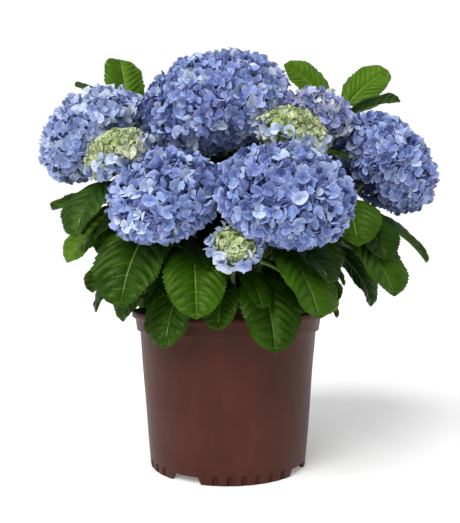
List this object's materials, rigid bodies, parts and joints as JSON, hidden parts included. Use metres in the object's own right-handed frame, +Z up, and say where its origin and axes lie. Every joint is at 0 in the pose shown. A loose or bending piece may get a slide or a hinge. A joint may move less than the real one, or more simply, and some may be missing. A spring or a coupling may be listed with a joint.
{
  "type": "potted hydrangea shrub",
  "caption": "Bigleaf hydrangea with large mop-shaped blue flower heads and serrated leaves, growing in a squat tapered nursery pot.",
  "frame": {"origin": "middle of the pot's base, on the ground the pot stands on", "axes": "+Z up the pot's axis; -Y to the front, where most of the flower heads face; +X to the right as seen from the front"},
  "size_m": [0.4909, 0.4512, 0.5413],
  "materials": {
    "pot_plastic": "satin moulded plastic",
    "bark_mix": "damp composted bark",
    "woody_stem": "dull bark",
    "foliage": "semi-gloss leaf",
    "blue_blossom": "soft petal",
    "pale_blossom": "soft petal",
    "young_blossom": "soft petal"
  },
  "bodies": {
    "root": {"pot": "pot_plastic", "bark_mix": "bark_mix", "root_crown": "woody_stem", "cane_back_left": "woody_stem", "cane_back_low": "woody_stem", "cane_back_right": "woody_stem", "cane_back_top": "woody_stem", "cane_front_left": "woody_stem", "cane_front_right": "woody_stem", "cane_leafy_left": "woody_stem", "cane_leafy_right": "woody_stem", "cane_left": "woody_stem", "cane_right": "woody_stem", "cane_side_left": "woody_stem", "cane_side_right": "woody_stem", "cane_top": "woody_stem", "cane_upper_right": "woody_stem", "cane_young_front": "woody_stem", "cane_young_left": "woody_stem", "cane_young_right": "woody_stem", "head_back_left": "blue_blossom", "head_back_low": "blue_blossom", "head_back_right": "blue_blossom", "head_back_top": "blue_blossom", "head_front_left": "blue_blossom", "head_front_right": "blue_blossom", "head_left": "blue_blossom", "head_right": "blue_blossom", "head_top": "blue_blossom", "head_upper_right": "pale_blossom", "head_young_front": "young_blossom", "head_young_left": "young_blossom", "head_young_right": "young_blossom", "leaves_back_left": "foliage", "leaves_back_low": "foliage", "leaves_back_right": "foliage", "leaves_back_top": "foliage", "leaves_front_left": "foliage", "leaves_front_right": "foliage", "leaves_leafy_left": "foliage", "leaves_leafy_right": "foliage", "leaves_left": "foliage", "leaves_right": "foliage", "leaves_side_left": "foliage", "leaves_side_right": "foliage", "leaves_top": "foliage", "leaves_upper_right": "foliage", "leaves_young_front": "foliage", "leaves_young_left": "foliage", "leaves_young_right": "foliage"}
  },
  "joints": []
}
